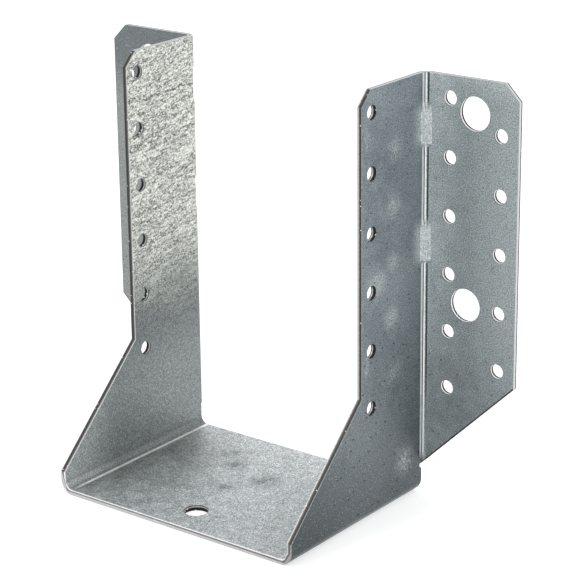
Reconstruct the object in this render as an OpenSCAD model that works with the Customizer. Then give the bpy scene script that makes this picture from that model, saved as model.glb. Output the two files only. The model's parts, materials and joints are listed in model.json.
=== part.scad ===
// Joist hanger: one sheet of galvanised steel, folded into a seat, two side
// plates and two header flanges that turn outwards.
// The joist lies along Y. The header stands behind the hanger, on its +Y side.
// The origin is at the middle of the hanger, on the floor that it stands on.

/* [Joist pocket] */
// Clear width between the side plates, which is the width of the joist
joist_w = 96; // [60:1:140]
// Height of the top edge above the underside of the seat
side_h = 148; // [140:1:180]
// Depth from the header face to the front edge of the seat
seat_d = 76; // [72:1:95]

/* [Sheet] */
// Thickness of the steel
sheet = 2; // [1.5:0.1:2.5]
// Radius on the inside of the folds between side plates and flanges
fold_r = 1.6; // [1:0.1:2]
// Radius on the inside of the folds between seat and side plates
seat_fold_r = 3; // [2:0.1:3.4]

/* [Side plates] */
// Depth of the upper strip, from the header face to its front edge
strip_d = 37.5; // [34:0.5:44]
// Height at which the front edge starts to slant out to the toe
slant_top = 45; // [36:0.5:48]
// Height of the toe, where the slanted edge meets the front of the seat
toe_h = 8; // [7:0.5:10]
// Corner cut off the top of the front edge
plate_chamfer = 5; // [3:0.5:6]
// How far the back edge of seat and toe stands in front of the header face
back_gap = 2.6; // [0.5:0.1:3]

/* [Header flanges] */
// Width of a flange, from the plate's outer face to its outer edge
flange_w = 35.5; // [34:0.5:44]
// Height of the lower end of a flange's outer edge
flange_low = 45.5; // [38:0.5:50]
// Height at which the slanted lower edge meets the plate's outer face
flange_foot = 11; // [10:0.5:14]
// Corner cut off the top of the outer edge
flange_chamfer = 5.5; // [4:0.5:7]

/* [Nail holes] */
// Diameter of a nail hole
nail_d = 5; // [4:0.1:5.5]
// Height from one nail hole to the next in the same column
nail_pitch = 20; // [18:0.5:20]
// Nail holes in a full column
nail_count = 6; // [4:1:6]
// Distance from the top edge to the first hole of a full column
nail_top = 7.5; // [7:0.5:9]
// Distance from the front edge of a side plate to its nail holes
plate_nail_edge = 5.3; // [4.5:0.1:7]
// Distance from the plate's outer face to the inner column on a flange
flange_nail_in = 9.5; // [8.5:0.1:10]
// Distance from the inner column to the outer column on a flange
flange_nail_step = 19.5; // [19:0.5:21]

/* [Bolt holes] */
// Diameter of a bolt hole
bolt_d = 11.5; // [11:0.1:12]
// Distance from the top edge down to the upper bolt hole
bolt_high_drop = 11.5; // [11:0.1:12]
// Distance from the plate's outer face to the upper bolt hole
bolt_high_in = 19; // [18.5:0.1:19.5]
// Distance from the top edge down to the lower bolt hole
bolt_low_drop = 77; // [76:0.1:79]
// Distance from the plate's outer face to the lower bolt hole
bolt_low_in = 16.3; // [15.8:0.1:16.8]

/* [Seat hole] */
// Diameter of the hole near the front edge of the seat
seat_hole_d = 8.5; // [5:0.5:10]
// Distance from the front edge of the seat to the hole
seat_hole_edge = 12.5; // [8:0.5:14]

/* [Stiffening darts] */
// Height of a dart pressed into the fold between plate and flange
dart_h = 16; // [13:0.5:19]
// Reach of a dart along the plate and along the flange
dart_reach = 2.5; // [2.2:0.1:3]
// Distance from the top edge to the middle of the upper dart
dart_top = 17; // [15:0.5:20]
// Distance from the upper dart to the lower one
dart_pitch = 40; // [36:1:44]
// Depth of the dent that a dart leaves on the other side of the fold
dart_dent = 0.45; // [0.2:0.05:0.6]

/* [Hidden] */
$fn = 64;
over = 1;                          // how far a cutter runs past the steel
outer_r = fold_r + sheet;          // radius on the outside of a flange's fold
seat_outer_r = seat_fold_r + sheet; // radius on the outside of a seat fold
inner_x = joist_w / 2;             // inner face of a side plate
outer_x = inner_x + sheet;         // outer face of a side plate
flange_x = outer_x + flange_w;     // outer edge of a flange
back_y = seat_d / 2;               // header face: the back of both flanges
front_y = -seat_d / 2;             // front edge of the seat
flange_y = back_y - sheet;         // front face of a flange
turn_y = back_y - outer_r;         // where a plate starts to turn into its flange
rear_y = back_y - back_gap;        // back edge of the seat and of the toes
strip_y = back_y - strip_d;        // front edge of the upper strip
first_z = side_h - nail_top;       // height of the top hole in a full column
flange_slope = (flange_low - flange_foot) / flange_w;
turn_z = flange_foot - sheet * flange_slope; // where the fold ends at the inner face
dart_depth = dart_reach / sqrt(2); // height of a dart's ridge over the sharp corner
dart_tip = 4;                      // height over which a dart runs out at its upper end
dart_end = 1;                      // height of the slope that closes its lower end
dart_tip_z = dart_h / 2 - dart_tip; // where that upper end begins, from the dart's middle
// radius of the arc in which the upper end runs out
dart_tip_r = (dart_tip * dart_tip + dart_depth * dart_depth) / (2 * dart_depth);

// The right-hand half and its mirror image
module both_sides() {
    children();
    mirror([1, 0, 0]) children();
}

// Section of a fold: a quarter ring that opens towards +X and +Y
module fold_section(inside) {
    intersection() {
        difference() {
            circle(inside + sheet);
            circle(inside);
        }
        square(inside + sheet);
    }
}

// Section across the joist: the seat, its two folds and the side plates
module trough_section() {
    translate([seat_fold_r - inner_x, 0]) square([2 * (inner_x - seat_fold_r), sheet]);
    both_sides() {
        translate([inner_x - seat_fold_r, seat_outer_r]) rotate(-90) fold_section(seat_fold_r);
        translate([inner_x, seat_outer_r]) square([sheet, side_h - seat_outer_r]);
    }
}

// Outline of a side plate, seen from the side
module plate_outline() {
    polygon([
        [rear_y, 0],
        [front_y, 0],
        [front_y, toe_h],
        [strip_y, slant_top],
        [strip_y, side_h - plate_chamfer],
        [strip_y + plate_chamfer, side_h],
        [turn_y, side_h],
        [turn_y, turn_z],
        [rear_y, turn_z]
    ]);
}

// Seat and side plates
module trough() {
    intersection() {
        rotate([90, 0, 0]) linear_extrude(seat_d, center = true) trough_section();
        rotate([90, 0, 90]) linear_extrude(2 * outer_x, center = true) plate_outline();
    }
}

// Section through the right-hand flange and its fold, seen from above
module flange_section() {
    translate([inner_x + outer_r, turn_y]) rotate(90) fold_section(fold_r);
    translate([inner_x + outer_r, flange_y]) square([flange_w - fold_r, sheet]);
}

// Outline of the right-hand flange, seen from the front
module flange_outline() {
    polygon([
        [inner_x, turn_z],
        [flange_x, flange_low],
        [flange_x, side_h - flange_chamfer],
        [flange_x - flange_chamfer, side_h],
        [inner_x, side_h]
    ]);
}

// Right-hand header flange with its fold
module flange() {
    intersection() {
        linear_extrude(side_h) flange_section();
        rotate([90, 0, 0]) linear_extrude(2 * seat_d, center = true) flange_outline();
    }
}

// Side view of a dart: x is its height over the sharp corner, y runs up the fold
module dart_side() {
    polygon([
        [-over, -dart_h / 2],
        [0, -dart_h / 2],
        [dart_depth, dart_end - dart_h / 2],
        [dart_depth, dart_tip_z],
        [-over, dart_tip_z]
    ]);
    translate([dart_depth - dart_tip_r, dart_tip_z]) circle(dart_tip_r);
}

// A dart, which bridges the inside of the fold
module dart() {
    intersection() {
        linear_extrude(dart_h, center = true)
            polygon([[-over, 0], [dart_depth, -dart_depth - over], [dart_depth, dart_depth + over]]);
        rotate([90, 0, 0]) linear_extrude(4 * dart_reach, center = true) dart_side();
    }
}

// Puts its children at the middle of each dart, with +X pointing into the corner
module at_darts(corner) {
    for (drop = [0, dart_pitch])
        translate([corner.x, corner.y, side_h - dart_top - drop]) rotate(-45) children();
}

// The dent that a dart leaves on the outside of the fold
module dart_dent_cut() {
    depth = outer_r * (sqrt(2) - 1) + dart_dent;
    translate([depth - over, 0, 0])
        cube([2 * over, 3 * outer_r, dart_h - dart_tip], center = true);
}

// Nail holes up a side plate, through both plates
module plate_nail_holes() {
    for (i = [0 : nail_count - 1])
        translate([0, strip_y + plate_nail_edge, first_z - i * nail_pitch])
            rotate([0, 90, 0]) cylinder(h = 2 * (outer_x + over), d = nail_d, center = true);
}

// One hole through the right-hand flange
module flange_hole(from_plate, z, d) {
    translate([outer_x + from_plate, back_y + over, z])
        rotate([90, 0, 0]) cylinder(h = sheet + 2 * over, d = d);
}

// Nail and bolt holes in the right-hand flange
module flange_holes() {
    for (i = [0 : nail_count - 1])
        flange_hole(flange_nail_in, first_z - i * nail_pitch, nail_d);
    for (i = [0 : nail_count - 2])
        flange_hole(flange_nail_in + flange_nail_step, first_z - (i + 0.5) * nail_pitch, nail_d);
    flange_hole(bolt_high_in, side_h - bolt_high_drop, bolt_d);
    flange_hole(bolt_low_in, side_h - bolt_low_drop, bolt_d);
}

module seat_hole() {
    translate([0, front_y + seat_hole_edge, -over]) cylinder(h = sheet + 2 * over, d = seat_hole_d);
}

module hanger() {
    color("lightslategray") difference() {
        union() {
            trough();
            both_sides() {
                flange();
                at_darts([outer_x, flange_y]) dart();
            }
        }
        both_sides() {
            flange_holes();
            at_darts([inner_x, back_y]) dart_dent_cut();
        }
        plate_nail_holes();
        seat_hole();
    }
}

hanger();
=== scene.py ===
import json
import math

import bmesh
import bpy
from mathutils import Matrix, Vector


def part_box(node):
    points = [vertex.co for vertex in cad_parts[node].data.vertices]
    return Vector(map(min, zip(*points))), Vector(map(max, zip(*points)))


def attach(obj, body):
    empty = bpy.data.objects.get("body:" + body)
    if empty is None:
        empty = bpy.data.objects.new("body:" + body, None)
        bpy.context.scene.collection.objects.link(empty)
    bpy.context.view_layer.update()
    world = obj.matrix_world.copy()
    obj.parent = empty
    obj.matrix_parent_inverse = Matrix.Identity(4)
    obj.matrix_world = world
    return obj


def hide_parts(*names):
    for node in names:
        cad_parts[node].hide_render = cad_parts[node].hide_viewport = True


# A joist hanger of galvanised sheet: the CAD solid with its sheared edges broken, and its finishes.
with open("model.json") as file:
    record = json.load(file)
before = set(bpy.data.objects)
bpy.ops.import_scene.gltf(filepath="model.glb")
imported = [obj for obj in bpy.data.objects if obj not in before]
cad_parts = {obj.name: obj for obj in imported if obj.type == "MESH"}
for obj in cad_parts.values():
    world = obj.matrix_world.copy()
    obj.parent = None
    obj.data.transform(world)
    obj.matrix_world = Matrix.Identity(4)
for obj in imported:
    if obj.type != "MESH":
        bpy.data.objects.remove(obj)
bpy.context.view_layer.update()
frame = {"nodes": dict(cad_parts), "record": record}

# ---- sizes, in millimetres unless a name says otherwise
MM = 0.001
LOW, HIGH = (Vector(corner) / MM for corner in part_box("hanger"))
MOUNTS = {mount["name"]: mount for mount in frame["record"]["mounts"]}


def mount_place(name):
    """Where a mount is."""
    return Vector(MOUNTS[name]["pos_m"]) / MM


def hole_places():
    """Middle and radius of every hole. A pattern of holes stands evenly about its mount's place."""
    places = []
    for name, mount in MOUNTS.items():
        dims = mount["dims"]
        radius = dims.get("hole_r_mm", dims.get("r_mm"))
        if radius is None:
            continue
        wide, tall = dims.get("spacing_x_mm", 0), dims.get("spacing_y_mm", 0)
        for side in (-0.5, 0.5):
            for level in (-0.5, 0.5):
                places.append((mount_place(name) + Vector((side * wide, 0, level * tall)), radius))
    return places


HOLES = hole_places()
SHEET = MOUNTS["seat_hole"]["dims"]["length_mm"]  # thickness of the steel
FLANGE_FOLD = 1.6                                 # inside radius between plate and flange
SEAT_FOLD = 3.0                                   # inside radius between seat and plate
BACK_Y = HIGH.y                                   # header face
FLANGE_Y = BACK_Y - SHEET                         # front face of the flanges
TURN_Y = FLANGE_Y - FLANGE_FOLD                   # where a plate starts to turn into its flange
BACK_GAP = 2.6                                    # how far seat and toe stop short of the header
REAR_Y = BACK_Y - BACK_GAP                        # back edge of seat and toe
OUTER_X = mount_place("joist_nails_right_1").x + SHEET / 2
INNER_X = OUTER_X - SHEET                         # inner face of a side plate
FOLD_X = INNER_X - 0.3                            # a little short of the flange folds
TURN_X = OUTER_X + FLANGE_FOLD                    # where a flange starts
SEAT_END_X = INNER_X - SEAT_FOLD                  # where the seat starts to turn up
PLATE_FOOT_Z = SHEET + SEAT_FOLD                  # where a side plate starts
FLANGE_FOOT_Z = 11                                # where a flange's slanted lower edge starts
FLANGE_LOW_Z = 45.5                               # where it ends, at the flange's outer edge
DART_TOP = 17                                     # from the top edge to the middle of the upper dart
DART_PITCH = 40
DART_Z = (HIGH.z - DART_TOP, HIGH.z - DART_TOP - DART_PITCH)
DART_HALF = 8.0                                   # half the height of a dart
DART_REACH = 2.5                                  # reach of a dart along the plate and the flange


# ---- the folded sheet
FLAT_ANGLE = math.radians(0.3)
SHARP_ANGLE = math.radians(40)    # folds and hole walls turn by less than this between facets
BROKEN_EDGE = 0.24                # size of the rounding on the sheared edges
DOUBLE_GAP = 0.002                # corners closer than this are one
FLAT_WIDTH = 0.8                  # a face narrower than this belongs to a fold or a rounded edge
SKIN = 0.03                       # share of the thickness that counts as its surface
NEAR = 0.4                        # reach of a rounded edge
(SHEET_FACE, PALE_CUT, DARK_CUT, FLANGE_CUT, SHADED_DULL_CUT, TOP_CUT, SEAT_CUT,
 PLATE_HOLE, FLANGE_HOLE) = range(9)


def depth_in_sheet(place):
    """0 on the side of the sheet that the joist and header touch, 1 on the other side."""
    across, along, up = abs(place.x), place.y, place.z
    if across > TURN_X and along > TURN_Y:
        return (BACK_Y - along) / SHEET
    if across > FOLD_X and along > TURN_Y and up > PLATE_FOOT_Z + 2:
        return 1 + (FLANGE_FOLD - math.hypot(across - TURN_X, along - TURN_Y)) / SHEET
    if across > SEAT_END_X and up < PLATE_FOOT_Z:
        return (math.hypot(across - SEAT_END_X, up - PLATE_FOOT_Z) - SEAT_FOLD) / SHEET
    if up >= PLATE_FOOT_Z:
        return (across - INNER_X) / SHEET
    return 1 - up / SHEET


def plane_groups(data):
    """Gives coplanar neighbours one number, and each number its area, width and normal."""
    number, groups = {}, []
    for start in data.faces:
        if start in number:
            continue
        members = [start]
        number[start] = len(groups)
        for face in members:
            for edge in face.edges:
                if edge.calc_face_angle(math.pi) > FLAT_ANGLE:
                    continue
                for other in edge.link_faces:
                    if other not in number:
                        number[other] = len(groups)
                        members.append(other)
        places = [vert.co for face in members for vert in face.verts]
        size = Vector([max(p[i] for p in places) - min(p[i] for p in places) for i in range(3)])
        area = sum(face.calc_area() for face in members)
        width = area / max(size.length, 1e-9)
        groups.append((area, width, start.normal.copy()))
    return number, groups


def beside_dart(place):
    """True at the height of a dart."""
    return any(abs(place.z - z) < DART_HALF + 0.1 for z in DART_Z)


def on_dart(place):
    """True on a dart, which stands proud in the corner between plate and flange."""
    return min(abs(place.x) - OUTER_X, FLANGE_Y - place.y) > -0.05 and beside_dart(place)


def corner_normals(data):
    """Normals that keep flat faces flat up to their rounded edges, and folds and darts soft."""
    number, groups = plane_groups(data)
    normals = []
    for vert in data.verts:
        around = [groups[number[face]] for face in vert.link_faces]
        flats = [(area, normal) for area, width, normal in around
                 if width > FLAT_WIDTH * MM and not on_dart(vert.co / MM)]
        if flats:
            normals.append(max(flats, key=lambda flat: flat[0])[1])
        else:
            total = sum((face.normal * face.calc_area() for face in vert.link_faces), Vector())
            normals.append(total.normalized())
    return normals


def faces_through(place, normal):
    """1 where a face looks straight out of the sheet's thickness, 0 where it is a cut through it."""
    across, along, up = abs(place.x), place.y, place.z
    if across > TURN_X and along > TURN_Y:
        return abs(normal.y)
    if across > FOLD_X and along > TURN_Y:
        return 1 - abs(normal.z)
    if across <= SEAT_END_X:
        return abs(normal.z)
    return 1 - abs(normal.y) if up < PLATE_FOOT_Z else abs(normal.x)


def finish_of(face):
    """Which finish a face has: the zinc of the sheet, or that of one of its sheared edges."""
    place, normal = face.calc_center_median() / MM, face.normal
    across, along, up = abs(place.x), place.y, place.z
    depth = depth_in_sheet(place)
    on_surface = depth < SKIN or depth > 1 - SKIN
    in_flange_fold = FOLD_X < across <= TURN_X and along > TURN_Y
    if faces_through(place, normal) > 0.9 and (on_surface or in_flange_fold):
        return SHEET_FACE
    if on_dart(place) and abs(normal.z) < 0.99 or in_flange_fold and beside_dart(place):
        return SHEET_FACE
    if any((place - middle).length < radius + 2 * NEAR for middle, radius in HOLES):
        return FLANGE_HOLE if along > TURN_Y else PLATE_HOLE
    if up > HIGH.z - NEAR:
        return TOP_CUT
    if up < PLATE_FOOT_Z and along < LOW.y + NEAR:
        return SEAT_CUT
    if along > TURN_Y:
        # the slanted lower edges look down, and get the painted shade of a cut in shadow
        return FLANGE_CUT if normal.z > -0.3 else SHADED_DULL_CUT
    if normal.y > 0.2:
        # the back edges of seat and toes, in painted shade
        return SHADED_DULL_CUT
    return PALE_CUT if place.x > 0 and abs(normal.z) < 0.3 else DARK_CUT


def folded_sheet(finishes):
    """The hanger with its sheared edges broken, as one closed mesh in the place of the CAD solid."""
    data = bmesh.new()
    data.from_mesh(frame["nodes"]["hanger"].data)
    bmesh.ops.remove_doubles(data, verts=data.verts, dist=DOUBLE_GAP * MM)
    bmesh.ops.dissolve_limit(data, angle_limit=FLAT_ANGLE, verts=data.verts, edges=data.edges)
    sharp = [edge for edge in data.edges if edge.calc_face_angle(0) > SHARP_ANGLE]
    bmesh.ops.bevel(data, geom=sharp, offset=BROKEN_EDGE * MM, offset_type="OFFSET", segments=2,
                    profile=0.5, affect="EDGES", clamp_overlap=True)
    data.normal_update()
    for face in data.faces:
        face.smooth = True
        face.material_index = finish_of(face)
    normals = corner_normals(data)
    mesh = bpy.data.meshes.new("folded_sheet")
    data.to_mesh(mesh)
    data.free()
    depth = mesh.attributes.new("depth", "FLOAT", "POINT")
    for vert in mesh.vertices:
        depth.data[vert.index].value = depth_in_sheet(vert.co / MM)
    mesh.normals_split_custom_set_from_vertices(normals)
    for finish in finishes:
        mesh.materials.append(finish)
    piece = bpy.data.objects.new("folded_sheet", mesh)
    bpy.context.scene.collection.objects.link(piece)
    return piece


# ---- materials
def shown(red, green, blue):
    """A linear colour from how it shows, 0 to 255."""
    levels = [c / 255 for c in (red, green, blue)]
    return tuple(c / 12.92 if c <= 0.04045 else ((c + 0.055) / 1.055) ** 2.4 for c in levels) + (1.0,)


class Finish:
    """A material under construction: each call adds a node and gives back its output."""

    def __init__(self, name):
        self.material = bpy.data.materials.new(name)
        self.material.use_nodes = True
        self.tree = self.material.node_tree
        self.tree.nodes.clear()

    def put(self, socket, value):
        """Links an output to a socket, or sets the socket's own value."""
        if isinstance(value, bpy.types.NodeSocket):
            self.tree.links.new(value, socket)
        else:
            socket.default_value = value

    def node(self, kind, inputs, **settings):
        """A node of this kind, with its inputs by name or number, and its settings."""
        node = self.tree.nodes.new("ShaderNode" + kind)
        for key, value in settings.items():
            setattr(node, key, value)
        for key, value in inputs.items():
            self.put(node.inputs[key], value)
        return node

    # numbers
    def math(self, operation, a, b=0.0):
        return self.node("Math", {0: a, 1: b}, operation=operation).outputs[0]

    def plus(self, a, b):
        return self.math("ADD", a, b)

    def minus(self, a, b):
        return self.math("SUBTRACT", a, b)

    def most(self, a, b):
        return self.math("MAXIMUM", a, b)

    def times(self, *factors):
        result = factors[0]
        for factor in factors[1:]:
            result = self.math("MULTIPLY", result, factor)
        return result

    def gap(self, a, b):
        """How far apart two numbers are."""
        return self.math("ABSOLUTE", self.minus(a, b))

    def step(self, value, start, end, first=0.0, last=1.0):
        """Goes softly from first to last while the value goes from start to end."""
        sockets = {"Value": value, "From Min": start, "From Max": end, "To Min": first, "To Max": last}
        return self.node("MapRange", sockets, interpolation_type="SMOOTHSTEP").outputs["Result"]

    def between(self, mask, outside_it, inside_it):
        """One number where a mask is 0 and another where it is 1."""
        return self.step(mask, 0, 1, outside_it, inside_it)

    def band(self, value, middle, half):
        """1 along the middle of a band and 0 outside it."""
        return self.step(self.gap(value, middle), half, half * 0.4)

    # colours
    def blend(self, factor, a, b):
        return self.node("Mix", {0: factor, 6: a, 7: b}, data_type="RGBA").outputs[2]

    def gain(self, colour, amount):
        """A colour made lighter or darker."""
        return self.node("VectorMath", {0: colour, "Scale": amount}, operation="SCALE").outputs[0]

    def tone(self, colour, mask, amount):
        """A colour made lighter or darker by this amount where a mask is 1."""
        return self.gain(colour, self.between(mask, 1.0, amount))

    # places and patterns
    def object_place(self):
        """Object coordinates in millimetres."""
        return self.gain(self.node("TexCoord", {}).outputs["Object"], 1 / MM)

    def object_depth(self):
        """Depth in the sheet, from 0 on its inner side to 1 on its outer side."""
        return self.node("Attribute", {}, attribute_name="depth").outputs["Fac"]

    def distance(self, place, point):
        return self.node("VectorMath", {0: place, 1: point}, operation="DISTANCE").outputs["Value"]

    def stretch(self, place, *scale):
        """The same place, with the pattern stretched: below 1 its marks grow longer that way."""
        return self.node("VectorMath", {0: place, 1: scale}, operation="MULTIPLY").outputs[0]

    def noise(self, place, size, detail=2.0, roughness=0.5):
        """Noise with blobs of about this size."""
        sockets = {"Vector": place, "Scale": 1 / size, "Detail": detail, "Roughness": roughness}
        return self.node("TexNoise", sockets).outputs["Fac"]

    def spots(self, place, spacing, share, radius):
        """Small round marks: 1 inside a mark. Only this share of the cells has one."""
        cells = self.node("TexVoronoi", {"Vector": place, "Scale": 1 / spacing})
        chance = self.node("SeparateColor", {0: cells.outputs["Color"]}).outputs[0]
        chosen = self.step(chance, 1 - share, 1 - share + 0.01)
        return self.times(chosen, self.step(cells.outputs["Distance"], radius, radius * 0.5))

    def bump(self, height, strength, depth, under=None):
        """Fine relief, over the relief under it."""
        sockets = {"Height": height, "Strength": strength, "Distance": depth * MM}
        if under is not None:
            sockets["Normal"] = under
        return self.node("Bump", sockets).outputs[0]

    def shade(self, **inputs):
        """Closes the material with one Principled shader."""
        shader = self.node("BsdfPrincipled", {key.replace("_", " "): v for key, v in inputs.items()})
        self.node("OutputMaterial", {"Surface": shader.outputs[0]})
        return self.material


# ---- the zinc of the sheet, with painted light and shade
# x, y and radius on the seat
STAINS = ((-13, 12, 7), (-21, 19, 6), (4, 7, 9), (-4, -5, 6))
# y, z and radius on the right plate
PALE_CLOUDS = ((19, 126, 6), (18, 107, 6), (18, 88, 5), (9, 83, 7), (17, 69, 6))
# y, z, half depth and half height on the right plate
SCUFFS = ((3.4, 132, 2.2, 7), (3.0, 56, 2.0, 7), (25, 15, 7, 8), (18, 49, 8, 6))
# z, rise along y, and y where it fades out, on the left plate
LONG_CREASES = ((130.2, 0.03, 2), (114.6, 0.05, 0), (97.2, 0.09, 16))
COARSE_TILT = math.radians(-10)   # slant of the lumps, streaks and creases of the coarse zinc

PLATE_DULL, PLATE_PALE = shown(134, 143, 148), shown(142, 151, 155)
# flange fronts: a little lighter higher up, a painted light, and the painted shade of the left flange
FLANGE_LOW, FLANGE_HIGH, FLANGE_LIT = shown(149, 158, 160), shown(153, 161, 162), shown(203, 211, 211)
SHADED_LEFT_FLANGE_TOP, SHADED_LEFT_FLANGE = shown(111, 117, 119), shown(140, 145, 143)
# seat top: partly its zinc and partly a painted reflection, dull on the left and bright on the right,
# paler at the back
SEAT_LEFT_ZINC_AND_SHADE, SEAT_RIGHT_ZINC_AND_REFLECTION, SEAT_BACK = shown(144, 149, 147), shown(183, 188, 190), shown(190, 194, 195)
INNER_FOOT, INNER_DULL, INNER_FRONT = shown(138, 144, 143), shown(108, 115, 115), shown(184, 190, 189)
# the coarse zinc, made bright by a painted reflection
COARSE_ZINC_AND_REFLECTION = shown(188, 190, 184)
STAIN = shown(112, 117, 119)
PALE_CLOUD = shown(206, 210, 209)
SCUFF = shown(214, 218, 218)
# white specks: painted glints
SPECK_GLINT = shown(228, 232, 232)
SCORE = shown(214, 219, 220)
PIT = shown(34, 36, 38)
DRAWN_LINE = shown(46, 49, 50)
# painted highlight and painted shade down the flange folds
FOLD_HIGHLIGHT, FOLD_SHADE = shown(248, 250, 251), shown(48, 53, 57)
# painted highlight along the seat's fold, partly pale zinc
SEAT_FOLD_HIGHLIGHT = shown(255, 255, 254)
# painted highlights on the darts
DART_SHOULDER_HIGHLIGHT, DART_RIDGE_HIGHLIGHT = shown(206, 212, 213), shown(180, 186, 187)
GLINT = shown(232, 233, 232)


class SheetZinc(Finish):
    """Hot-dip zinc: grain, soft clouds, coarse zinc high inside the left plate, and painted highlights,
    reflections and shade.
    """

    def __init__(self, name):
        super().__init__(name)
        self.here = self.object_place()
        self.x, self.y, self.z = self.node("SeparateXYZ", {0: self.here}).outputs
        self.across = self.math("ABSOLUTE", self.x)
        self.outside = self.step(self.object_depth(), 0.4, 0.6)
        self.inside = self.minus(1.0, self.outside)
        self.find_faces()
        self.make_patterns()

    def find_faces(self):
        """Masks for the faces that differ from the plates' outer faces."""
        self.right = self.step(self.x, -10, 10)
        self.flange = self.times(self.step(self.y, TURN_Y, FLANGE_Y),
                                 self.step(self.across, OUTER_X, TURN_X))
        self.seat = self.times(self.inside, self.step(self.across, INNER_X, SEAT_END_X),
                               self.step(self.z, 5, 2.5))
        self.left_inside = self.times(self.inside, self.step(self.x, -SEAT_END_X, -INNER_X),
                                      self.step(self.y, BACK_Y, TURN_Y))

    def make_patterns(self):
        """Patterns that more than one face uses."""
        self.clouds = self.noise(self.here, 16, 3, 0.55)
        self.mottle = self.noise(self.here, 3.5, 3, 0.6)
        self.grain = self.noise(self.here, 0.45, 4, 0.8)
        drift = self.minus(self.clouds, 0.5)
        self.wavy_x = self.plus(self.x, self.times(drift, 30))
        self.wavy_z = self.plus(self.z, self.times(drift, 18))
        self.coarse = self.times(self.left_inside, self.step(self.wavy_z, 30, 76),
                                 self.step(self.wavy_z, 60, 116, 0.58, 1.0))
        tilt = {"Vector": self.here, "Rotation": (COARSE_TILT, 0, 0)}
        self.tilted = self.node("Mapping", tilt).outputs[0]
        lumps = self.noise(self.stretch(self.tilted, 1, 0.42, 1.2), 0.62, 4, 0.78)
        self.lumps = self.step(lumps, 0.37, 0.61)
        worn = self.noise(self.stretch(self.here, 1, 1, 0.3), 1.5, 2)
        self.worn = self.step(worn, 0.2, 0.5, 0.65, 1.0)
        fine = self.most(self.minus(self.grain, 0.5), self.between(self.seat, -0.06, -0.03))
        strength = self.most(self.between(self.seat, 5.4, 9.5), self.between(self.coarse, 5.4, 9.5))
        self.fine = self.times(fine, strength)

    def plate_outsides(self):
        """Outer faces: painted shade at the toe, foot and low by the fold, darker at the rear edge, a
        painted highlight where the foot turns under.
        """
        colour = self.blend(self.step(self.clouds, 0.3, 0.7), PLATE_DULL, PLATE_PALE)
        from_toe = self.plus(self.y, self.times(self.z, 0.5))
        # painted shade, darker towards the toe and the foot
        painted_shade = self.times(self.step(from_toe, -36, 10, 0.62, 1.0), self.step(self.z, 2, 70, 0.46, 1.0))
        colour = self.gain(colour, painted_shade)
        # a painted highlight where the foot turns under
        under = self.times(self.step(self.z, 4.4, 1.2), self.step(self.across, SEAT_END_X, INNER_X))
        colour = self.tone(colour, under, 2.1)
        rear = self.times(self.step(self.y, REAR_Y - 0.8, REAR_Y - 0.3),
                          self.step(self.z, FLANGE_FOOT_Z + 1, FLANGE_FOOT_Z))
        colour = self.tone(colour, rear, 0.3)
        # painted shade low down by the fold
        shade_low_by_fold = self.times(self.step(self.y, -6, 34, 0.4, 1.0), self.step(self.z, 90, 45))
        return self.tone(colour, shade_low_by_fold, 0.82)

    def flange_fronts(self, colour):
        """Front faces of the flanges: a little lighter higher up, a painted light by the fold and at the
        top, painted shade on the left flange.
        """
        front = self.blend(self.step(self.z, 20, 75), FLANGE_LOW, FLANGE_HIGH)
        # a painted light by the fold, as from the plate beside it, and along the top
        lit_by_fold = self.times(self.step(self.across, 68, TURN_X), self.step(self.z, 30, 90, 0.5, 1.0))
        pale = self.most(lit_by_fold, self.times(self.step(self.z, HIGH.z - 7, HIGH.z - 1), 0.25))
        front = self.blend(pale, front, FLANGE_LIT)
        # painted shade on the left flange, darkest near its top
        below_top = self.step(self.z, HIGH.z - 10, HIGH.z - 30)
        shaded_left_front = self.blend(below_top, SHADED_LEFT_FLANGE_TOP, SHADED_LEFT_FLANGE)
        front = self.blend(self.right, shaded_left_front, front)
        return self.blend(self.times(self.outside, self.flange), colour, front)

    def seat_top(self, colour):
        """Top of the seat: zinc with a painted reflection, dull on the left and bright on the right,
        paler at the back, painted shade at the right end, with stains.
        """
        slanted = self.minus(self.wavy_x, self.times(self.y, 0.2))
        # partly the zinc and partly a painted reflection: dull on the left, bright on the right
        top = self.blend(self.step(slanted, -44, -8), SEAT_LEFT_ZINC_AND_SHADE, SEAT_RIGHT_ZINC_AND_REFLECTION)
        # painted shade, darker towards the right end
        top = self.gain(top, self.step(self.x, 5, 44, 0.97, 0.83))
        top = self.blend(self.times(self.step(self.y, 8, 34), 0.8), top, SEAT_BACK)
        for x, y, radius in STAINS:
            near = self.step(self.distance(self.here, (x, y, SHEET)), radius, 0.0)
            stain = self.times(near, self.step(self.mottle, 0.35, 0.6))
            top = self.blend(self.times(stain, 0.85), top, STAIN)
        return self.blend(self.seat, colour, top)

    def left_plate_inside(self, colour):
        """Inside of the left plate: dull below, and above a wavy border coarse zinc made bright by a
        painted reflection.
        """
        low = self.blend(self.step(self.z, 24, 60), INNER_FOOT, INNER_DULL)
        low = self.blend(self.step(self.y, -8, -32), low, INNER_FRONT)
        # the coarse zinc above, partly its own colour and partly a painted reflection
        plate = self.blend(self.step(self.wavy_z, 44, 84), low, COARSE_ZINC_AND_REFLECTION)
        return self.blend(self.left_inside, colour, plate)

    def pale_clouds(self, colour):
        """Pale clouds between the nail holes and the fold, on the outside of the right plate."""
        clouds = 0.0
        for y, z, radius in PALE_CLOUDS:
            away = self.distance(self.here, (OUTER_X, y, z))
            clouds = self.most(clouds, self.step(away, radius, 0.0))
        clouds = self.times(clouds, self.step(self.grain, 0.38, 0.62, 0.35, 1.0), self.outside)
        return self.blend(self.times(clouds, 0.6), colour, PALE_CLOUD)

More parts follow.
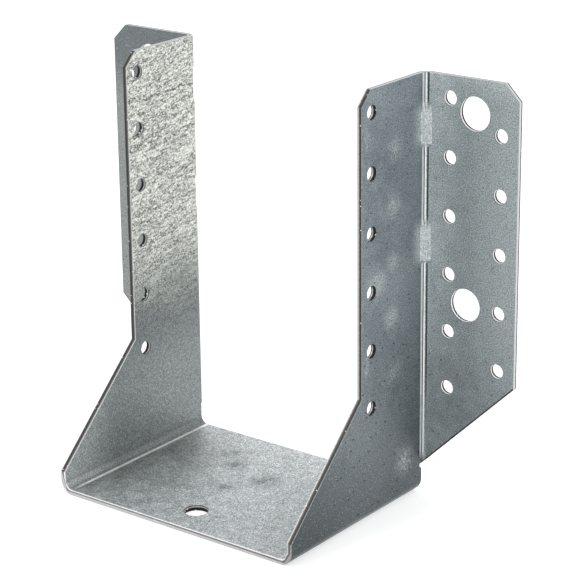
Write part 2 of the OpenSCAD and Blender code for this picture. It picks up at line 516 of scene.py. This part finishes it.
    def scuffs(self, colour):
        """Scuffs on the outside of the right plate: by its front edge, and low by the fold."""
        scuffed = 0.0
        for y, z, half_depth, half_height in SCUFFS:
            knock = self.times(self.step(self.gap(self.y, y), half_depth, 0.0),
                               self.step(self.gap(self.z, z), half_height, 0.0))
            scuffed = self.most(scuffed, knock)
        scores = self.step(self.noise(self.stretch(self.here, 1, 1.2, 0.5), 0.6, 4, 0.8), 0.42, 0.66)
        scuffed = self.times(scuffed, scores, self.outside, self.right)
        return self.blend(self.times(scuffed, 0.55), colour, SCUFF)

    def cracks(self):
        """Fine cracks round the lumps of the coarse zinc."""
        wobble = self.node("TexNoise", {"Vector": self.here, "Scale": 1 / 1.1, "Detail": 2.0})
        wobbly = self.node("VectorMath", {0: self.stretch(self.tilted, 1, 0.62, 1.0),
                                          1: self.gain(wobble.outputs["Color"], 1.6)}, operation="ADD")
        cells = self.node("TexVoronoi", {"Vector": wobbly.outputs[0], "Scale": 1 / 1.15},
                          feature="DISTANCE_TO_EDGE")
        return self.times(self.step(cells.outputs[0], 0.13, 0.02), self.step(self.mottle, 0.62, 0.42))

    def dark_lines(self):
        """Creases and cracks of the coarse zinc, three of the creases long."""
        short = self.noise(self.stretch(self.tilted, 1, 0.05, 0.45), 2.4, 3, 0.6)
        creases = self.times(self.step(short, 0.60, 0.68), self.step(self.lumps, 1.0, 0.2), 0.55)
        wander = self.times(self.minus(self.noise(self.here, 5, 2), 0.5), 4)
        for z, rise, end in LONG_CREASES:
            above = self.minus(self.minus(self.z, self.times(self.y, rise)), z)
            crease = self.times(self.band(self.plus(above, wander), 0, 0.6),
                                self.step(self.y, end, end + 5),
                                self.step(self.mottle, 0.35, 0.55, 0.2, 0.75))
            creases = self.most(creases, crease)
        return self.times(self.most(creases, self.times(self.cracks(), 0.25)), self.coarse)

    def grained(self, colour):
        """Grain everywhere, stronger on the seat, and lumps and streaks in the coarse zinc."""
        streaks = self.step(self.noise(self.stretch(self.tilted, 1, 0.09, 0.8), 1.3, 3, 0.6), 0.3, 0.7)
        lumpy = self.times(self.minus(self.lumps, 0.5), self.between(self.coarse, 0.06, 1.55))
        streaky = self.times(self.minus(streaks, 0.5), self.between(self.coarse, 0.08, 0.75))
        cloudy = self.times(self.minus(self.mottle, 0.5), self.between(self.seat, 0.4, 0.9))
        amount = self.plus(self.plus(self.fine, lumpy), self.plus(streaky, cloudy))
        amount = self.plus(self.minus(amount, self.dark_lines()), self.between(self.coarse, 0.99, 1.13))
        darkest, lightest = 0.22, 1.95
        return self.gain(colour, self.math("MINIMUM", self.most(amount, darkest), lightest))

    def specks(self, colour):
        """Painted glints as white specks, fine upright scores and dark pits."""
        # painted glints as white specks, most on the seat
        specks = self.times(self.spots(self.here, 1.2, 0.45, 0.2), self.between(self.seat, 0.28, 0.85))
        colour = self.blend(specks, colour, SPECK_GLINT)
        scores = self.spots(self.stretch(self.here, 1, 1, 0.35), 2.2, 0.16, 0.11)
        colour = self.blend(self.times(scores, 0.6), colour, SCORE)
        pits = self.spots(self.stretch(self.here, 0.83, 0.5, 0.9), 1.9, 0.36, 0.19)
        pits = self.times(pits, self.step(self.z, 100, 20, 0.45, 0.8),
                          self.between(self.outside, 0.35, 1.0))
        return self.blend(pits, colour, PIT)

    def drawn_edge(self, colour):
        """A dark line, where the shears drew the zinc down along the flanges' slanted lower edge."""
        slope = (FLANGE_LOW_Z - FLANGE_FOOT_Z) / (HIGH.x - OUTER_X)
        above = self.minus(self.z, self.times(self.minus(self.across, OUTER_X), slope))
        drawn = self.times(self.step(above, FLANGE_FOOT_Z + 0.75, FLANGE_FOOT_Z + 0.3), self.flange)
        return self.blend(self.times(drawn, 0.85), colour, DRAWN_LINE)

    def flange_folds(self, colour):
        """Two painted highlight lines, partly the press tool's scuffs, and two lines of painted shade
        down each fold between plate and flange.
        """
        in_fold = self.times(self.outside, self.step(self.y, TURN_Y - 0.4, TURN_Y),
                             self.step(self.across, TURN_X + 0.5, TURN_X),
                             self.step(self.across, OUTER_X - 0.5, OUTER_X),
                             self.step(self.z, FLANGE_FOOT_Z + 1, FLANGE_FOOT_Z + 5),
                             self.step(self.z, 12, 45, 0.75, 1.0))
        round_fold = self.plus(self.minus(self.across, OUTER_X), self.minus(self.y, TURN_Y))
        # painted highlights along the fold, partly the tool's scuffs
        bright = self.most(self.band(round_fold, 0.25, 0.75),
                           self.times(self.band(round_fold, 1.65, 0.45), 0.8))
        colour = self.blend(self.times(in_fold, bright, self.worn), colour, FOLD_HIGHLIGHT)
        # painted shade in the fold, deepest by the flange
        shade_by_flange = self.times(self.band(round_fold, 2.7, 0.55), self.step(self.z, 14, 50, 0.3, 1.0))
        dark = self.most(shade_by_flange, self.times(self.band(round_fold, 1.05, 0.35), 0.9))
        return self.blend(self.times(in_fold, dark, 0.95), colour, FOLD_SHADE)

    def seat_folds(self, colour):
        """Painted shade in the fold, and one painted highlight line, partly pale zinc, where the seat
        starts to turn up.
        """
        # painted shade where the seat turns up
        shaded_turn = self.times(self.inside, self.step(self.across, SEAT_END_X, SEAT_END_X + 0.8),
                             self.step(self.z, 6, 4))
        colour = self.tone(colour, shaded_turn, 0.72)
        # a painted highlight line, partly pale zinc
        line = self.times(self.inside, self.band(self.across, SEAT_END_X + 0.2, 0.8),
                          self.step(self.z, 4, 2.5), self.step(self.y, BACK_Y, TURN_Y),
                          self.step(self.y, LOW.y + 1, LOW.y + 9, 0.3, 1.0), self.worn)
        return self.blend(line, colour, SEAT_FOLD_HIGHLIGHT)

    def darts(self, colour):
        """Darts with painted highlights, palest on the soft shoulders round them, with a sharp lower
        end.
        """
        shoulder = self.most(self.minus(self.across, OUTER_X + DART_REACH),
                             self.minus(FLANGE_Y - DART_REACH, self.y))
        # painted highlights on each dart and round it, from its lower end up to its top
        dart_highlight = 0.0
        for middle in DART_Z:
            foot = middle - DART_HALF
            on_it = self.times(self.step(shoulder, 0.4, -0.4), self.step(self.z, foot - 0.2, foot + 0.2))
            near_it = self.times(self.step(shoulder, 5.5, -1.0),
                                 self.step(self.z, foot - 1.5, foot + 3.5))
            below_top = self.step(self.z, middle + DART_HALF + 1, middle + 3)
            dart_highlight = self.most(dart_highlight, self.times(below_top, self.most(on_it, near_it)))
        dart_highlight_colour = self.blend(self.step(shoulder, 0.4, -0.4), DART_SHOULDER_HIGHLIGHT, DART_RIDGE_HIGHLIGHT)
        rough = self.plus(self.times(self.fine, 0.75), self.times(self.minus(self.lumps, 0.5), 0.35))
        dart_highlight_colour = self.gain(dart_highlight_colour, self.plus(rough, 0.95))
        return self.blend(self.times(dart_highlight, self.outside), colour, dart_highlight_colour)

    def close(self):
        """All of the above, one over the other, with its relief and gloss."""
        colour = self.plate_outsides()
        for layer in (self.flange_fronts, self.seat_top, self.left_plate_inside, self.pale_clouds,
                      self.scuffs, self.grained, self.specks, self.drawn_edge, self.flange_folds,
                      self.seat_folds, self.darts):
            colour = layer(colour)
        relief = self.bump(self.grain, 0.35, 0.05)
        relief = self.bump(self.times(self.lumps, self.coarse), 0.7, 0.35, relief)
        roughness = self.step(self.mottle, 0.3, 0.7, 0.42, 0.54)
        return self.shade(Base_Color=colour, Metallic=0.8, Roughness=roughness, Normal=relief)


# ---- the sheared edges and hole walls
def sheared_edge(name, bands, glint_share=0.14, glint_spacing=1.1, shine=0.6, toe=1.0):
    """A sheared edge: burr, smooth cut and torn steel, as bands over the depth in the sheet, with some
    painted highlight and shade in the bands.

    A shine of 0 makes it dull, and a toe below 1 paints shade on it at the right toe.
    """
    edge = Finish(name)
    place = edge.object_place()
    torn = edge.noise(place, 0.7, 3, 0.65)
    ragged = edge.times(edge.minus(torn, 0.5), 0.2)
    ramp = edge.node("ValToRGB", {0: edge.plus(edge.object_depth(), ragged)})
    stops = ramp.color_ramp.elements
    stops[0].position, stops[0].color = bands[0][0], shown(*bands[0][1])
    stops[-1].position, stops[-1].color = bands[-1][0], shown(*bands[-1][1])
    for depth, colour in bands[1:-1]:
        stops.new(depth).color = shown(*colour)
    glints = edge.times(edge.spots(place, glint_spacing, glint_share, 0.24), 0.9)
    colour = edge.blend(glints, ramp.outputs[0], GLINT)
    x = edge.node("SeparateXYZ", {0: place}).outputs[0]
    # painted shade at the right toe
    colour = edge.gain(colour, edge.step(x, SEAT_END_X + 0.5, INNER_X, 1.0, toe))
    relief = edge.bump(torn, 0.4, 0.08)
    return edge.shade(Base_Color=colour, Metallic=shine, Roughness=0.98 - shine,
                      Specular_IOR_Level=shine * 0.8, Normal=relief)


# depth in the sheet, and the colour there, 0 to 255
PALE_BANDS = (
    (0.0, (170, 172, 172)), (0.18, (200, 202, 201)), (0.32, (170, 169, 167)), (0.46, (92, 90, 88)),
    (0.56, (52, 50, 49)), (0.8, (54, 52, 51)), (0.9, (140, 139, 138)), (1.0, (158, 160, 160)),
)
DARK_BANDS = (
    (0.0, (190, 192, 191)), (0.1, (200, 202, 201)), (0.18, (130, 129, 128)), (0.34, (84, 82, 81)),
    (0.52, (52, 51, 50)), (0.78, (50, 48, 47)), (0.9, (96, 95, 94)), (1.0, (164, 165, 164)),
)
# flange cuts: partly the cut's own zinc, partly a painted reflection that makes the middle white
FLANGE_BANDS = (
    (0.0, (30, 31, 32)), (0.26, (40, 42, 43)), (0.36, (214, 217, 217)), (0.5, (196, 200, 200)),
    (0.8, (204, 208, 208)), (0.9, (120, 125, 126)), (1.0, (140, 146, 147)),
)
# painted shade on cuts that look down or back
SHADED_DULL_BANDS = (
    (0.0, (40, 42, 43)), (0.5, (62, 64, 65)), (1.0, (84, 88, 89)),
)
TOP_BANDS = (
    (0.0, (228, 231, 232)), (0.26, (128, 130, 131)), (0.42, (104, 106, 107)), (0.6, (222, 225, 226)),
    (0.82, (172, 175, 177)), (1.0, (120, 125, 128)),
)
SEAT_BANDS = (
    (0.0, (228, 230, 231)), (0.24, (240, 242, 242)), (0.38, (120, 119, 118)), (0.66, (116, 115, 113)),
    (0.82, (196, 196, 195)), (1.0, (186, 187, 187)),
)
# plate hole walls: painted shade makes them near black, partly torn steel, with a painted highlight band
PLATE_HOLE_BANDS = (
    (0.0, (30, 30, 30)), (0.14, (60, 60, 60)), (0.26, (196, 197, 196)), (0.38, (130, 130, 129)),
    (0.48, (12, 12, 12)), (0.86, (6, 6, 6)), (1.0, (14, 14, 14)),
)
# flange hole walls: painted shade at both rims, and a painted highlight across the middle, partly bright
# cut zinc
FLANGE_HOLE_BANDS = (
    (0.0, (8, 9, 9)), (0.4, (12, 13, 14)), (0.48, (230, 233, 233)), (0.74, (238, 241, 241)),
    (0.84, (36, 38, 39)), (1.0, (8, 9, 9)),
)


# ---- floor, light and camera, in metres and watts
FLOOR_SIDE = 8
FLOOR_GREY = (0.62, 0.62, 0.62, 1)
FLOOR_LIFT = 0.5
WHITE = (1, 1, 1, 1)
KEY_LAMP = {"place": (-0.5, -1.0, 1.2), "side": 0.7, "power": 7}
SIDE_LAMP = {"place": (1.3, 0.3, 0.9), "side": 0.6, "power": 6}
SENSOR_MM = 36
LENS_MM = 132.3123
SHIFT_Y = -0.07705                # share of the view's width; it keeps the uprights near parallel
AZIMUTH, ELEVATION, ROLL = math.radians(37.55), math.radians(17.67), math.radians(-0.6)
DISTANCE = 0.7192
TARGET = Vector((11.7, BACK_Y - 24.3, 87.0)) * MM


def make_floor():
    """A pale floor that keeps the shadow, lifted to white for what looks at it or mirrors it."""
    ground = Finish("pale_floor")
    seen = ground.node("LightPath", {})
    looked_at = ground.most(seen.outputs["Is Camera Ray"], seen.outputs["Is Glossy Ray"])
    looked_at = ground.most(looked_at, seen.outputs["Is Transmission Ray"])
    diffuse = ground.node("BsdfDiffuse", {"Color": FLOOR_GREY})
    lift = ground.node("Emission", {"Color": WHITE, "Strength": ground.times(looked_at, FLOOR_LIFT)})
    both = ground.node("AddShader", {0: diffuse.outputs[0], 1: lift.outputs[0]})
    ground.node("OutputMaterial", {"Surface": both.outputs[0]})
    mesh = bpy.data.meshes.new("floor")
    half = FLOOR_SIDE / 2
    corners = [(-half, -half, 0), (half, -half, 0), (half, half, 0), (-half, half, 0)]
    mesh.from_pydata(corners, [], [(0, 1, 2, 3)])
    mesh.materials.append(ground.material)
    floor = bpy.data.objects.new("floor", mesh)
    bpy.context.scene.collection.objects.link(floor)


def make_world():
    """An even white room."""
    world = bpy.data.worlds.new("studio")
    world.use_nodes = True
    background = world.node_tree.nodes["Background"]
    background.inputs["Color"].default_value = WHITE
    background.inputs["Strength"].default_value = 1.0
    bpy.context.scene.world = world


def soft_lamp(name, place, side, power):
    """A square soft lamp that points at the middle of the hanger."""
    light = bpy.data.lights.new(name, "AREA")
    light.size = side
    light.energy = power
    lamp = bpy.data.objects.new(name, light)
    lamp.location = place
    aim = (LOW + HIGH) / 2 * MM - Vector(place)
    lamp.rotation_euler = aim.to_track_quat("-Z", "Y").to_euler()
    bpy.context.scene.collection.objects.link(lamp)


def make_camera():
    """A long lens from the front right, a little above, as for a catalogue."""
    back = Vector((math.sin(AZIMUTH) * math.cos(ELEVATION),
                   -math.cos(AZIMUTH) * math.cos(ELEVATION), math.sin(ELEVATION)))
    lens = bpy.data.cameras.new("camera")
    lens.sensor_width = SENSOR_MM
    lens.lens = LENS_MM
    lens.shift_y = SHIFT_Y
    lens.clip_start, lens.clip_end = 0.05, 50
    camera = bpy.data.objects.new("camera", lens)
    camera.location = TARGET + back * DISTANCE
    turn = (-back).to_track_quat("-Z", "Y").to_matrix() @ Matrix.Rotation(ROLL, 3, "Z")
    camera.rotation_euler = turn.to_euler()
    bpy.context.scene.collection.objects.link(camera)
    bpy.context.scene.camera = camera


make_camera()
make_world()
make_floor()
soft_lamp("key", **KEY_LAMP)
soft_lamp("side", **SIDE_LAMP)
hanger = folded_sheet((
    SheetZinc("galvanised_sheet").close(),
    sheared_edge("pale_cut", PALE_BANDS),
    sheared_edge("dark_cut", DARK_BANDS),
    sheared_edge("flange_cut", FLANGE_BANDS),
    sheared_edge("shaded_dull_cut", SHADED_DULL_BANDS, shine=0.0),
    sheared_edge("top_cut", TOP_BANDS),
    sheared_edge("seat_cut", SEAT_BANDS, toe=0.6),
    sheared_edge("plate_hole", PLATE_HOLE_BANDS, glint_share=0.7, glint_spacing=1.8),
    sheared_edge("flange_hole", FLANGE_HOLE_BANDS),
))
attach(hanger, "root")
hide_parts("hanger")
bpy.context.scene.view_settings.view_transform = "Standard"
